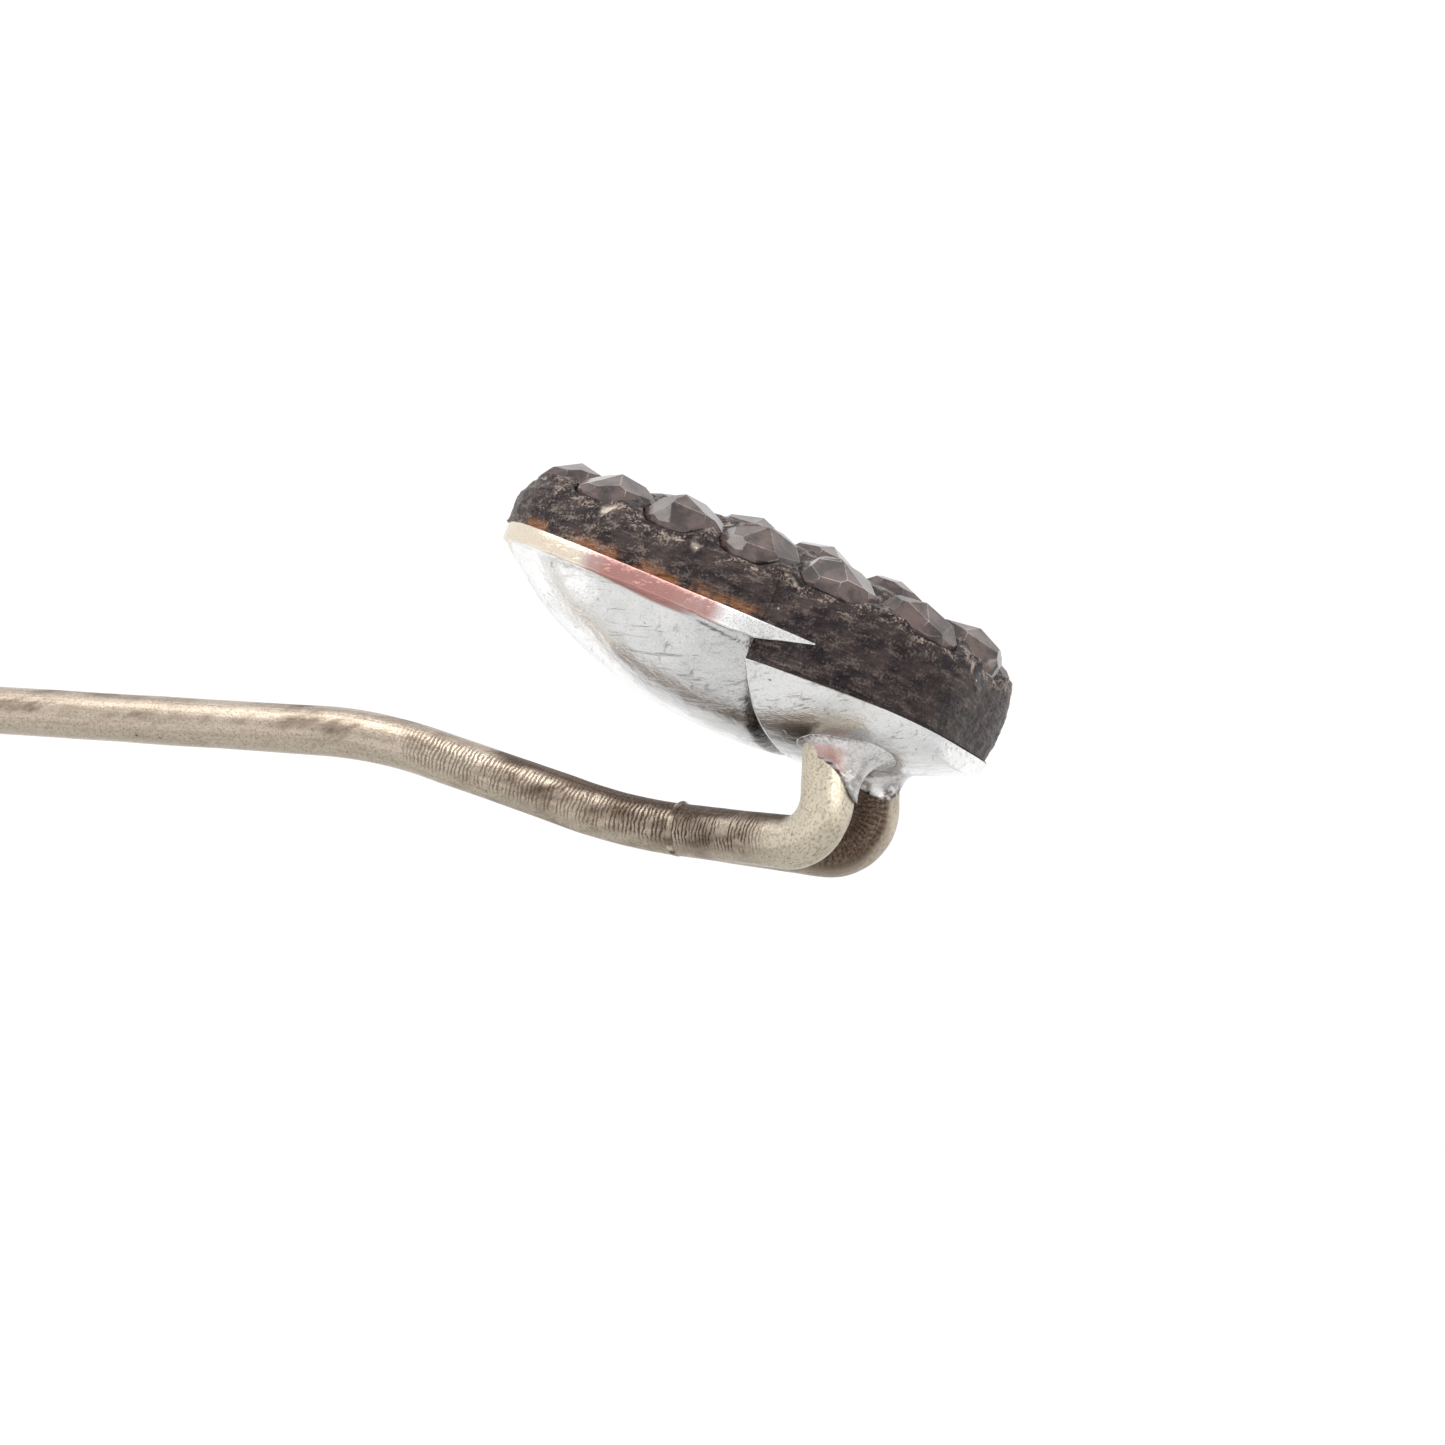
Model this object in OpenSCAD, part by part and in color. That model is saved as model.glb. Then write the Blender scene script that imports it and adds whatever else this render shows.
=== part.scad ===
/* [Shank] */
// Diameter of the wire that the shank and both legs are made of
wire_d = 1.2; // [0.9:0.05:1.6]
// Length of the straight, full-diameter shank, from the neck to the start of the point
straight_l = 62; // [30:1:120]
// Length of the tapered point
point_l = 8; // [5:0.5:14]
// Diameter of the rounded tip
tip_d = 0.16; // [0.1:0.02:0.3]

/* [Neck] */
// Angle by which the wire dips below the shank's line
neck_angle = 13.5; // [6:0.5:18]
// Centreline radius of the dip's first bend
neck_r = 13; // [8:0.5:20]
// Centreline radius of the dip's second bend
neck_back_r = 15; // [8:0.5:20]
// Straight run between the two bends of the dip
neck_run = 4.2; // [2:0.1:8]
// Angle by which the wire still dips when it reaches the fork
fork_dip = 3; // [0:0.5:5]

/* [Fork] */
// Angle of each leg to the middle of the fork
fork_angle = 18.3; // [12:0.5:24]
// Straight run of a leg from the seam to its upward bend
leg_run = 3.25; // [2:0.1:5]
// Centreline radius of a leg's upward bend
leg_bend_r = 0.95; // [0.85:0.05:1.6]
// Angle of a leg's upward bend
leg_bend_angle = 98; // [88:1:104]
// Height from a leg's bend to the back plate, halfway between the two legs
leg_h = 0.8; // [0.5:0.05:1.4]
// Width of the solder fillet around each leg, beyond the wire
solder_w = 0.5; // [0.3:0.05:0.8]

// Length of the solder collar round the seam
collar_l = 0.3; // [0.2:0.05:0.5]
// Thickness of the solder collar
collar_t = 0.07; // [0.05:0.01:0.12]
// Clearance between the solder collar and the shank, which still bends a little there
collar_clear = 0.01; // [0.01:0.005:0.02]
// Thickness of the solder fillet at its lower edge
solder_edge = 0.12; // [0.08:0.02:0.2]

/* [Head] */
// Length of the head along the shank
head_l = 12; // [10:0.2:16]
// Width of the head across the shank
head_w = 8.6; // [7:0.2:11]
// Tilt of the head, down towards its outer end
head_pitch = 18.2; // [8:0.5:20]
// Tilt of the head about the shank's line, down on the far side
head_roll = 4.5; // [0:0.5:14]
// Distance from the fork's legs back to the middle of the head
leg_setback = 3.65; // [3:0.05:4]
// Squareness of the head's outline, where 2 is an ellipse
fullness = 3; // [2:0.1:4]
// Height of the side band above the front shell's rim
band_h = 1.05; // [0.9:0.05:1.6]
// Thickness of the side band
band_t = 0.5; // [0.35:0.05:0.8]
// Rise of the domed deck from the top of the band to its middle
deck_rise = 0.9; // [0.6:0.05:1.3]
// Thickness of the deck below the top of the band
deck_t = 0.5; // [0.4:0.05:0.7]

// How far the domes would run on past each end of the head
end_flank = 1.1; // [0.6:0.1:1.6]
// How far the domes would run on past each side of the head
side_flank = 0.2; // [0.1:0.05:0.4]

/* [Back] */
// Distance from the middle of the head to the step between the two back shells
step_x = 2.2; // [1.6:0.1:2.6]
// How much deeper the rim of the back plate lies than the rim of the front shell
step_h = 0.85; // [0.6:0.05:1.1]
// Upward slope of the back plate, from the step to the head's outer end
plate_tilt = 4; // [0:0.5:6]
// Depth of the front shell's dome below its rim
shell_bulge = 2.45; // [1.8:0.05:2.6]
// Depth of the back plate's dome below its rim
plate_bulge = 1.6; // [1.2:0.05:1.8]
// Thickness of the sheet that both backs and the step wall are made of
sheet_t = 0.3; // [0.2:0.05:0.4]
// How far the front shell's rim strip stands proud of the band
strip_t = 0.08; // [0.05:0.01:0.12]
// Height of the front shell's rim strip
strip_h = 0.4; // [0.3:0.05:0.6]
// Length of the rim strip's tapered tongues past the step
tongue_l = 1.3; // [0.8:0.1:1.8]

/* [Stones] */
// Number of stones in the outer ring
ring_count = 14; // [12:2:14]
// Width of the metal edge outside the ring of stones
edge_w = 0.14; // [0.1:0.02:0.3]
// Radius of the small stones, set beside the middle row
small_r = 0.6; // [0.45:0.05:0.65]
// Height of a stone's rose-cut crown as a share of its radius
crown_share = 0.6; // [0.5:0.01:0.8]
// Height of a stone's girdle, which sits in its seat
girdle_h = 0.25; // [0.15:0.01:0.3]
// Clear gap between neighbouring stones
stone_gap = 0.12; // [0.08:0.01:0.2]
// Clearance between a stone's girdle and its seat
seat_clear = 0.02; // [0.01:0.005:0.04]
// Thickness of the foil disc under each stone
foil_t = 0.05; // [0.03:0.01:0.08]

/* [Hidden] */
$fn = 48;
wire_r = wire_d / 2;
half_l = head_l / 2;
half_w = head_w / 2;
outline_sides = 64;
// Fine enough that a fillet cut to a dome keeps its volume
dome_sides = 360;
dome_l = half_l + end_flank;
dome_w = half_w + side_flank;
// Longer than anything that is cut
far = 4 * head_l;
// A run's lap into the bend before it, and how much thinner it is
lap = 0.02;
hair = 0.001;

// A turn about Y that tips +X down, and one about X that lowers the +Y side
function tip_down(v, a) = [v.x * cos(a) + v.z * sin(a), v.y, v.z * cos(a) - v.x * sin(a)];
function lean_far(v, a) = [v.x, v.y * cos(a) + v.z * sin(a), v.z * cos(a) - v.y * sin(a)];
function head_turn(v) = tip_down(lean_far(v, head_roll), head_pitch);
function head_back(v) = lean_far(tip_down(v, -head_pitch), -head_roll);

// The dip: where its second bend starts, and where the fork's seam is
neck_back_angle = neck_angle - fork_dip;
neck_mid = [
    neck_r * sin(neck_angle) + neck_run * cos(neck_angle),
    0,
    -neck_r * (1 - cos(neck_angle)) - neck_run * sin(neck_angle)
];
seam = neck_mid + neck_back_r * [
    sin(neck_angle) - sin(fork_dip),
    0,
    cos(neck_angle) - cos(fork_dip)
];

// The end of the legs, halfway between them, in the fork's own axes
leg_bend_end = [
    (leg_run + leg_bend_r * sin(leg_bend_angle)) * cos(fork_angle),
    0,
    leg_bend_r * (1 - cos(leg_bend_angle))
];
leg_way = [cos(leg_bend_angle) * cos(fork_angle), 0, sin(leg_bend_angle)];
legs_top = seam + tip_down(leg_bend_end + leg_h * leg_way, fork_dip);

// A dome over an oval rim a by b (half sizes) and h deep: a barrel's skin, cut by the rim's plane.
// Its axis lies dome_c beyond the rim's plane, and its radius shrinks towards the ends.
function dome_c(b, h) = (b * b / h - h) / 2;
function dome_bow(a, h) = (a * a + h * h) / (2 * h);
function dome_radius(a, b, h, x) =
    dome_c(b, h) + h - dome_bow(a, h) + sqrt(pow(dome_bow(a, h), 2) - x * x);
function dome_z(a, b, h, x, y) = sqrt(pow(dome_radius(a, b, h, x), 2) - y * y) - dome_c(b, h);

// The underside of the back plate, and from it the middle of the head at the front shell's rim
function plate_z(x, y) =
    (x - step_x) * tan(plate_tilt) - step_h - dome_z(dome_l, dome_w, plate_bulge, x, y);
head_middle = legs_top - head_turn([leg_setback, 0, plate_z(leg_setback, 0)]);

// The head's outline, and any oval inside it, at a turn t from the +X end
function power(v, p) = sign(v) * pow(abs(v), p);
function oval_point(a, b, t) = [a * power(cos(t), 2 / fullness), b * power(sin(t), 2 / fullness)];
// Each row gives the length round an oval so far, and the turn that it reaches
function oval_steps(a, b) = [
    for (
        t = 0, length = 0;
        t <= 360;
        t = t + 1, length = length + norm(oval_point(a, b, t) - oval_point(a, b, t - 1))
    ) [length, t]
];

// The ring of stones: its share of the outline sets a stone's radius, and that sets the inset
edge_steps = oval_steps(half_l - edge_w, half_w - edge_w);
ring_r = (edge_steps[360][0] / ring_count - stone_gap) / (2 + 2 * PI / ring_count);
ring_a = half_l - edge_w - ring_r;
ring_b = half_w - edge_w - ring_r;
ring_steps = oval_steps(ring_a, ring_b);
function ring_place(i) = oval_point(ring_a, ring_b, lookup(ring_steps[360][0] * i / ring_count, ring_steps));

// The middle row's spacing fills its length
row_count = 4;
row_half = ring_a - ring_r - stone_gap;
row_pitch = (2 * row_half + stone_gap) / row_count;
function row_place(i) = [(i - (row_count + 1) / 2) * row_pitch, 0];

small_count = 6;
small_half = ring_b - ring_r - stone_gap - small_r;
function small_x(i) = ((i - 1) % 3 - 1) * row_pitch;
function small_y(i) = small_half * sqrt(1 - pow(small_x(i) / row_half, 2));
function small_place(i) = [small_x(i), i <= 3 ? -small_y(i) : small_y(i)];

// A row stone keeps the gap to the next one in its row and to the small stones beside it
row_r = min((row_pitch - stone_gap) / 2, norm([row_pitch / 2, small_y(1)]) - small_r - stone_gap);

ring_names = [for (i = [1:ring_count]) str("ring_stone_", i)];
row_names = [for (i = [1:row_count]) str("row_stone_", i)];
small_names = [for (i = [1:small_count]) str("small_stone_", i)];

gilt = "Tan";
bright = "WhiteSmoke";
oxidised = "DimGray";
smoky = "Silver";

module oval(a, b) {
    polygon([for (i = [0:outline_sides - 1]) oval_point(a, b, 360 * i / outline_sides)]);
}

module prism(a, b, low, high) {
    translate([0, 0, low]) linear_extrude(high - low) oval(a, b);
}

// A solid dome that hangs h below z = 0, inset evenly from the head's outline
module dome(h, inset = 0) {
    a = dome_l - inset;
    b = dome_w - inset;
    c = dome_c(b, h);
    bow = dome_bow(a, h);
    intersection() {
        translate([0, 0, c])
            rotate([0, 90, 0])
                rotate_extrude($fn = dome_sides) intersection() {
                    translate([c + h - bow, 0]) circle(r = bow, $fn = dome_sides);
                    translate([0.9 * c, -a]) square([0.1 * c + 2 * h, 2 * a]);
                }
        prism(half_l - inset, half_w - inset, -2 * h, 0);
    }
}

// A quarter bend of wire, from the origin along +X, curling up to +Z
module bend(radius, angle) {
    translate([0, 0, radius])
        rotate([90, 90, 0])
            rotate_extrude(angle = angle) translate([radius, 0]) circle(r = wire_r);
}

// The same turned over: from the origin along +X, curling down to -Z
module dip_down(radius, angle) {
    translate([0, 0, -radius])
        rotate([90, 0, 0]) rotate([0, 0, 90 - angle])
            rotate_extrude(angle = angle) translate([radius, 0]) circle(r = wire_r);
}

module run(length) {
    rotate([0, 90, 0]) cylinder(r = wire_r, h = length);
}

// A run that follows a bend: it starts just inside the bend, a hair thinner, so the two always join
module run_on(length) {
    translate([-lap, 0, 0]) rotate([0, 90, 0]) cylinder(r = wire_r - hair, h = length + lap);
}

module on_fork() {
    translate(seam) rotate([0, fork_dip, 0]) children();
}

module on_head() {
    translate(head_middle) rotate([-head_roll, head_pitch, 0]) children();
}

// Puts children at a stone's place, with +Z square to the deck
module on_deck(place) {
    radius = dome_radius(dome_l, dome_w, deck_rise, place.x);
    bow = dome_bow(dome_l, deck_rise);
    slope = atan(place.x / sqrt(bow * bow - place.x * place.x));
    lean = asin(place.y / radius);
    z = band_h + dome_z(dome_l, dome_w, deck_rise, place.x, place.y);
    translate([place.x, place.y, z]) rotate([-lean, 0, 0]) rotate([0, slope, 0]) children();
}

// The straight shank and its point, turned as one piece about the shank's line
module straight() {
    tip_r = tip_d / 2;
    tip_arc = [for (t = [0:15:75]) [tip_r * sin(t), -point_l - tip_r * cos(t)]];
    translate([-straight_l, 0, 0])
        rotate([0, 90, 0])
            rotate_extrude()
                polygon(concat(tip_arc, [[tip_r, -point_l], [wire_r, 0], [wire_r, straight_l], [0, straight_l]]));
}

module shank() {
    color(gilt) {
        straight();
        dip_down(neck_r, neck_angle);
        translate([neck_r * sin(neck_angle), 0, -neck_r * (1 - cos(neck_angle))])
            rotate([0, neck_angle, 0]) {
                run_on(neck_run);
                translate([neck_run, 0, 0]) bend(neck_back_r, neck_back_angle);
            }
    }
}

// One leg's wire, running from before the seam until it is inside the head
module leg_wire() {
    translate([-wire_d, 0, 0]) run(leg_run + wire_d);
    translate([leg_run, 0, 0]) {
        bend(leg_bend_r, leg_bend_angle);
        translate([leg_bend_r * sin(leg_bend_angle), 0, leg_bend_r * (1 - cos(leg_bend_angle))])
            rotate([0, -leg_bend_angle, 0]) run_on(2 * wire_d + leg_h);
    }
}

// side is -1 for the near leg and 1 for the far one
module leg(side) {
    difference() {
        on_fork() intersection() {
            rotate([0, 0, side * fork_angle]) leg_wire();
            translate([0, side > 0 ? 0 : -far, -far / 2]) cube(far);
        }
        on_head() plate_body();
    }
}

module near_leg() {
    color(gilt) leg(-1);
}

module far_leg() {
    color(gilt) leg(1);
}

// A thin collar of solder round the shank's end, at the seam
module fork_solder() {
    color(bright) on_fork() rotate([0, -90, 0]) difference() {
        cylinder(r = wire_r + collar_t, h = collar_l);
        translate([0, 0, -collar_l]) cylinder(r = wire_r + collar_clear, h = 3 * collar_l);
    }
}

// Where a leg meets the back plate, in the head's own axes
function leg_foot(side) = head_back(
    seam + tip_down(
        [
            leg_bend_end.x + leg_h * leg_way.x,
            side * (leg_bend_end.x + leg_h * leg_way.x) * tan(fork_angle),
            leg_bend_end.z + leg_h * leg_way.z
        ], fork_dip) - head_middle
);

module solder_foot(side) {
    foot = leg_foot(side);
    difference() {
        on_head() translate([foot.x, foot.y, plate_z(foot.x, foot.y) - solder_w]) {
            cylinder(r1 = wire_r + solder_edge, r2 = wire_r + solder_w, h = solder_w);
            translate([0, 0, solder_w]) cylinder(r = wire_r + solder_w, h = solder_w);
        }
        on_head() plate_body();
        on_fork() rotate([0, 0, side * fork_angle]) leg_wire();
    }
}

module near_solder() {
    color(bright) solder_foot(-1);
}

module far_solder() {
    color(bright) solder_foot(1);
}

// The back plate's place: its rim's plane slopes up from the step
module on_plate() {
    translate([step_x, 0, -step_h]) rotate([0, -plate_tilt, 0])
        translate([-step_x, 0, 0]) children();
}

module above_plate() {
    on_plate() translate([-far / 2, -far / 2, 0]) cube(far);
}

// The back plate's outer shape, filled up past the legs' ends
module plate_body() {
    on_plate() {
        dome(plate_bulge);
        prism(half_l, half_w, 0, 3 * wire_d);
    }
}

module past_step(x) {
    translate([x, -far / 2, -far / 2]) cube(far);
}

module before_step(x) {
    translate([x - far, -far / 2, -far / 2]) cube(far);
}

module frame() {
    color(oxidised) on_head() difference() {
        union() {
            prism(half_l, half_w, 0, band_h);
            translate([0, 0, band_h]) mirror([0, 0, 1]) dome(deck_rise);
            intersection() {
                prism(half_l, half_w, -2 * step_h, 0);
                past_step(step_x);
                above_plate();
            }
        }
        prism(half_l - band_t, half_w - band_t, -2 * step_h, band_h - deck_t);
        seats();
    }
}

module seats() {
    depth = girdle_h + foil_t;
    for (i = [1:ring_count]) seat(ring_place(i - 1), ring_r, depth);
    for (i = [1:row_count]) seat(row_place(i), row_r, depth);
    for (i = [1:small_count]) seat(small_place(i), small_r, depth);
}

module seat(place, radius, depth) {
    on_deck(place) translate([0, 0, -depth]) cylinder(r = radius + seat_clear, h = far / 20);
}

module front_shell() {
    color(bright) on_head() {
        intersection() {
            difference() {
                dome(shell_bulge);
                dome(shell_bulge - sheet_t, sheet_t);
            }
            before_step(step_x);
        }
        rim_strip();
    }
}

// The strip outside the band, with a tongue on each side that tapers to nothing past the step
module rim_strip() {
    taper = atan(strip_h / tongue_l);
    difference() {
        prism(half_l + strip_t, half_w + strip_t, -strip_h, 0);
        prism(half_l, half_w, -2 * strip_h, strip_h);
        translate([step_x, 0, -strip_h]) rotate([0, -taper, 0])
            translate([0, -far / 2, -far]) cube(far);
        past_step(step_x + tongue_l);
    }
}

module back_plate() {
    color(bright) on_head() intersection() {
        on_plate() difference() {
            dome(plate_bulge);
            dome(plate_bulge - sheet_t, sheet_t);
        }
        past_step(step_x);
    }
}

module step_wall() {
    color(oxidised) on_head() intersection() {
        union() {
            on_plate() dome(plate_bulge - sheet_t, sheet_t);
            intersection() {
                prism(half_l - band_t, half_w - band_t, -2 * step_h, 0);
                above_plate();
            }
        }
        translate([step_x, -far / 2, -far / 2]) cube([sheet_t, far, far]);
    }
}

// A rose-cut stone on its flat base: a 12-sided girdle, 18 lower facets and 6 upper ones
module rose_cut(radius) {
    crown_h = crown_share * radius;
    top = [[0, 0, girdle_h + crown_h]];
    star = [for (i = [0:5]) [0.56 * radius * cos(60 * i), 0.56 * radius * sin(60 * i), girdle_h + 0.74 * crown_h]];
    upper = [for (i = [0:11]) [radius * cos(30 * i), radius * sin(30 * i), girdle_h]];
    lower = [for (p = upper) [p.x, p.y, 0]];
    polyhedron(
        points = concat(top, star, upper, lower),
        faces = concat(
            [for (i = [0:5]) [0, 1 + (i + 1) % 6, 1 + i]],
            [for (i = [0:5]) [1 + i, 7 + 2 * i, 7 + (2 * i + 11) % 12]],
            [for (i = [0:5]) [1 + i, 7 + 2 * i + 1, 7 + 2 * i]],
            [for (i = [0:5]) [1 + i, 1 + (i + 1) % 6, 7 + 2 * i + 1]],
            [for (i = [0:11]) [7 + i, 7 + (i + 1) % 12, 19 + (i + 1) % 12, 19 + i]],
            [[for (i = [0:11]) 19 + i]]
        )
    );
}

module stone(place, radius) {
    color(smoky) on_head() on_deck(place) translate([0, 0, -girdle_h]) rose_cut(radius);
}

module ring_stone(i) {
    stone(ring_place(i - 1), ring_r);
}

module row_stone(i) {
    stone(row_place(i), row_r);
}

module small_stone(i) {
    stone(small_place(i), small_r);
}

module foil(place, radius) {
    on_deck(place) translate([0, 0, -girdle_h - foil_t]) cylinder(r = radius, h = foil_t);
}

module foils() {
    color(smoky) on_head() {
        for (i = [1:ring_count]) foil(ring_place(i - 1), ring_r);
        for (i = [1:row_count]) foil(row_place(i), row_r);
        for (i = [1:small_count]) foil(small_place(i), small_r);
    }
}

shank();
near_leg();
far_leg();
fork_solder();
near_solder();
far_solder();
frame();
front_shell();
back_plate();
step_wall();
foils();
for (i = [1:ring_count]) ring_stone(i);
for (i = [1:row_count]) row_stone(i);
for (i = [1:small_count]) small_stone(i);
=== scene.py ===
"""Hat pin: a wire shank, a soldered two-leg fork, and a closed-back head of rose-cut stones."""

import math
import random

import bmesh
import bpy
import numpy as np
from mathutils import Matrix, Vector, noise


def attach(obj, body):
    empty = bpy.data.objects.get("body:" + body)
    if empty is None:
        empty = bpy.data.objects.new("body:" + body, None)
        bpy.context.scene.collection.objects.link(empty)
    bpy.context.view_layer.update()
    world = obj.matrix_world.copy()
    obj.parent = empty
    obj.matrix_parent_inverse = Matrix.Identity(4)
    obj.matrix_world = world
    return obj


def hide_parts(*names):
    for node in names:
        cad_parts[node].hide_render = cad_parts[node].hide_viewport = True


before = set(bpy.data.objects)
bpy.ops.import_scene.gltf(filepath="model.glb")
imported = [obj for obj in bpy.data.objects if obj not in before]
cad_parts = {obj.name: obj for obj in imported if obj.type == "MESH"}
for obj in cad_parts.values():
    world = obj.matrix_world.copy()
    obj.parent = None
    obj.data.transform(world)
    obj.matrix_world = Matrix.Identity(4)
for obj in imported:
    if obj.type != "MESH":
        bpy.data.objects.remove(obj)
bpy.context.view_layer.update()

MM = 0.001

# ---------------------------------------------------------------- sizes, in mm, as in the CAD part
WIRE_R = 0.6
STRAIGHT_L, POINT_L, TIP_R = 62, 8, 0.08
NECK_ANGLE, NECK_R, NECK_BACK_R, NECK_RUN = math.radians(13.5), 13, 15, 4.2
FORK_DIP = math.radians(3)
FORK_ANGLE, LEG_RUN = math.radians(18.3), 3.25
LEG_BEND_R, LEG_BEND_ANGLE, LEG_H = 0.95, math.radians(98), 0.8
SOLDER_W, SEAM_W = 0.5, 0.15
HALF_L, HALF_W, FULLNESS = 6.0, 4.3, 3
PITCH, ROLL, LEG_SETBACK = math.radians(18.2), math.radians(4.5), 3.65
BAND_H, BAND_T, DECK_RISE = 1.05, 0.5, 0.9
DOME_L, DOME_W = HALF_L + 1.1, HALF_W + 0.2
STEP_X, STEP_H, PLATE_TILT = 2.2, 0.85, math.radians(4)
SHELL_BULGE, PLATE_BULGE, SHEET_T = 2.45, 1.6, 0.3
STRIP_H, TONGUE_L = 0.4, 1.3
RING_COUNT, ROW_COUNT, SMALL_COUNT, SMALL_R, EDGE_W = 14, 4, 6, 0.6, 0.14
STONE_GAP, CROWN_SHARE, GIRDLE_H, FOIL_T = 0.12, 0.6, 0.25, 0.05

# ---------------------------------------------------------------- what only the looks need
WIRE_SIDES = 56
# The wire's worn skin lies this far inside the CAD wire's
SKIN = 0.008
# The share by which the front shell's end is tucked in under the band, and how far out that starts
END_TUCK, TUCK_X = 0.03, 4.0
# Each sheet's outer edge lies this far inside the head's outline
SHELL_INSET, PLATE_INSET = 0.004, 0.015
# A sheet's end is drawn in to this half width
NARROWEST = 0.03
# The deck starts this far in from the band's outer face across the head, and blends in over some rows
SHOULDER, BLEND_ROWS = 0.16, 6
# The worn border round each facet of a stone, and the softening of its edges
FACET_BORDER, WORN_EDGE = 0.028, 0.01
STONE_TRANSMISSION, STONE_IOR = 0.5, 1.62


# ---------------------------------------------------------------- the part's own geometry
def power(v, p):
    """The size of v to the power p, with the sign of v."""
    return np.sign(v) * np.abs(v) ** p


def dome_c(b, h):
    """How far the centre of a dome's round cross section is below its base: half width b, height h."""
    return (b * b / h - h) / 2


def dome_bow(a, h):
    """The radius of a dome's ridge: half length a, height h."""
    return (a * a + h * h) / (2 * h)


def dome_z(a, b, h, x, y):
    """Height at (x, y) of a dome with half length a, half width b and height h."""
    radius = dome_c(b, h) + h - dome_bow(a, h) + np.sqrt(dome_bow(a, h) ** 2 - x * x)
    return np.sqrt(radius**2 - y * y) - dome_c(b, h)


def deck_z(x, y):
    return BAND_H + dome_z(DOME_L, DOME_W, DECK_RISE, x, y)


def plate_rim_z(x):
    """Height of the back plate's edge at x."""
    return -STEP_H + (x - STEP_X) * math.tan(PLATE_TILT)


def plate_z(x, y):
    return plate_rim_z(x) - dome_z(DOME_L, DOME_W, PLATE_BULGE, x, y)


def half_width(x, a=HALF_L, b=HALF_W):
    """Half width of the head's outline at x."""
    return b * np.clip(1 - (np.abs(x) / a) ** FULLNESS, 0, 1) ** (1 / FULLNESS)


def outline(a, b, count, start=0.0):
    """Points evenly spaced round the head's outline, from the +X end, as an array of (x, y)."""
    t = np.linspace(0, 2 * math.pi, 7201)
    p = np.stack([a * power(np.cos(t), 2 / FULLNESS), b * power(np.sin(t), 2 / FULLNESS)], 1)
    s = np.concatenate([[0], np.cumsum(np.linalg.norm(np.diff(p, axis=0), axis=1))])
    want = (np.arange(count) / count + start) % 1 * s[-1]
    return np.stack([np.interp(want, s, p[:, 0]), np.interp(want, s, p[:, 1])], 1), s[-1]


def turn_y(angle):
    return Matrix.Rotation(angle, 4, "Y")


# Where the fork, the tops of the legs and the head lie
neck_mid = Vector((
    NECK_R * math.sin(NECK_ANGLE) + NECK_RUN * math.cos(NECK_ANGLE),
    0,
    -NECK_R * (1 - math.cos(NECK_ANGLE)) - NECK_RUN * math.sin(NECK_ANGLE),
))
seam = neck_mid + NECK_BACK_R * Vector((
    math.sin(NECK_ANGLE) - math.sin(FORK_DIP), 0, math.cos(NECK_ANGLE) - math.cos(FORK_DIP)
))
on_fork = Matrix.Translation(seam) @ turn_y(FORK_DIP)
leg_way = Vector((math.cos(LEG_BEND_ANGLE) * math.cos(FORK_ANGLE), 0, math.sin(LEG_BEND_ANGLE)))
leg_bend_end = Vector((
    (LEG_RUN + LEG_BEND_R * math.sin(LEG_BEND_ANGLE)) * math.cos(FORK_ANGLE),
    0,
    LEG_BEND_R * (1 - math.cos(LEG_BEND_ANGLE)),
))
legs_top = on_fork @ (leg_bend_end + LEG_H * leg_way)
head_turn = turn_y(PITCH) @ Matrix.Rotation(-ROLL, 4, "X")
head_middle = legs_top - head_turn @ Vector((LEG_SETBACK, 0, plate_z(LEG_SETBACK, 0)))
on_head = Matrix.Translation(head_middle) @ head_turn

_, edge_length = outline(HALF_L - EDGE_W, HALF_W - EDGE_W, 8)
RING_R = (edge_length / RING_COUNT - STONE_GAP) / (2 + 2 * math.pi / RING_COUNT)
RING_A, RING_B = HALF_L - EDGE_W - RING_R, HALF_W - EDGE_W - RING_R
ring_places, _ = outline(RING_A, RING_B, RING_COUNT)
ROW_HALF = RING_A - RING_R - STONE_GAP
ROW_PITCH = (2 * ROW_HALF + STONE_GAP) / ROW_COUNT
SMALL_HALF = RING_B - RING_R - STONE_GAP - SMALL_R


def small_y(x):
    """How far out a small stone stands beside the middle row at x."""
    return SMALL_HALF * math.sqrt(1 - (x / ROW_HALF) ** 2)


ROW_R = min((ROW_PITCH - STONE_GAP) / 2, math.hypot(ROW_PITCH / 2, small_y(ROW_PITCH)) - SMALL_R - STONE_GAP)

# Each stone's node, its place on the head, and its radius
stones = [(f"ring_stone_{i + 1}", p[0], p[1], RING_R) for i, p in enumerate(ring_places)]
for i in range(ROW_COUNT):
    stones.append((f"row_stone_{i + 1}", (i - (ROW_COUNT - 1) / 2) * ROW_PITCH, 0.0, ROW_R))
for i in range(SMALL_COUNT):
    x = (i % 3 - 1) * ROW_PITCH
    side = -1 if i < SMALL_COUNT / 2 else 1
    stones.append((f"small_stone_{i + 1}", x, side * small_y(x), SMALL_R))
stone_xyr = np.array([stone[1:] for stone in stones])


# ---------------------------------------------------------------- mesh helpers
def smooth(v, low, high):
    t = np.clip((v - low) / (high - low), 0, 1)
    return t * t * (3 - 2 * t)


def rough(points, scale, seed=0.0, octaves=3):
    """Smooth noise in about -1 to 1 at each point; scale is in waves per mm."""
    shift = Vector((seed * 7.3, seed * 3.1, seed * 5.7))
    return np.array([
        noise.fractal(Vector(p) * scale + shift, 1.0, 2.0, octaves) for p in np.asarray(points, float)
    ])


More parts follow.
